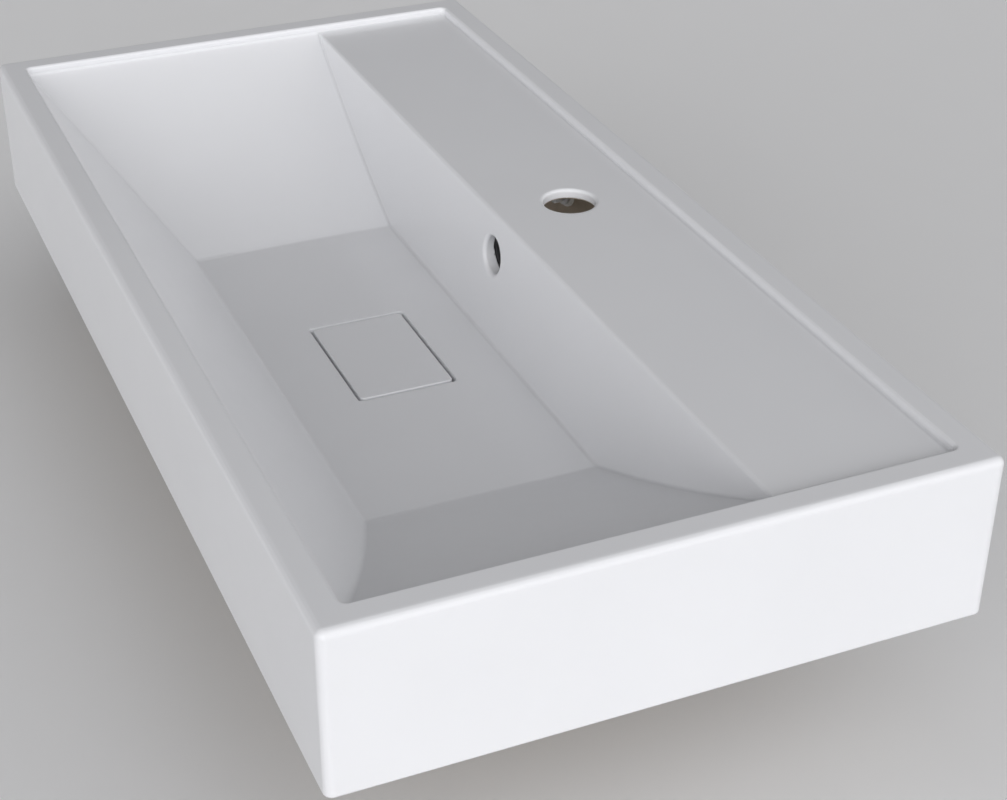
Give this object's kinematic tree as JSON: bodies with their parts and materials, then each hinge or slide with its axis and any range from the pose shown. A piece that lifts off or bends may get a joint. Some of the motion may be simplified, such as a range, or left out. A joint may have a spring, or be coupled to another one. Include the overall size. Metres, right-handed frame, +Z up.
{
  "type": "rectangular washbasin",
  "caption": "Wall-hung rectangular washbasin with a tap deck, a sloping bowl, a flush drain cover over a push-open waste, and an overflow.",
  "frame": {"origin": "on the flat back face that lies against the wall, midway between the two wall bolts", "axes": "+X along the basin's length, to the right seen from the front; +Y towards the wall; +Z up"},
  "size_m": [0.8, 0.458, 0.207],
  "materials": {
    "glaze": "soft gloss white",
    "chrome": "polished",
    "brass": "turned",
    "steel": "zinc plated",
    "rubber": "matte",
    "black_plastic": "moulded",
    "white_plastic": "moulded",
    "grey_plastic": "moulded"
  },
  "bodies": {
    "root": {"basin": "glaze", "clicker_spring": "steel", "clicker_barrel": "brass", "clicker_nut": "brass", "waste_body": "chrome", "waste_flange_gasket": "rubber", "waste_lower_gasket": "rubber", "waste_slip_washer": "white_plastic", "waste_lock_nut": "brass", "overflow_gasket": "rubber", "overflow_elbow": "black_plastic", "overflow_screw_left": "steel", "overflow_screw_right": "steel", "overflow_pipe": "white_plastic", "overflow_nut_upper": "grey_plastic", "overflow_seal_upper": "rubber", "overflow_nut_lower": "grey_plastic", "overflow_seal_lower": "rubber", "wall_anchor_left": "grey_plastic", "wall_bolt_left": "steel", "wall_bush_left": "white_plastic", "wall_washer_left": "steel", "wall_nut_left": "steel", "wall_anchor_right": "grey_plastic", "wall_bolt_right": "steel", "wall_bush_right": "white_plastic", "wall_washer_right": "steel", "wall_nut_right": "steel"},
    "plug": {"plug_disc": "chrome", "plug_seal": "rubber", "clicker_pin": "brass"},
    "cover": {"cover_plate": "glaze", "cover_carrier": "grey_plastic"}
  },
  "joints": [
    {"name": "plug_lift", "type": "slide", "parent": "root", "child": "plug", "axis": [0, 0, 1], "range_m": [0, 0.009], "deforming": ["clicker_spring"]},
    {"name": "cover_lift_off", "type": "slide", "parent": "plug", "child": "cover", "axis": [0, 0, 1], "range_m": [0, 0.06]}
  ]
}
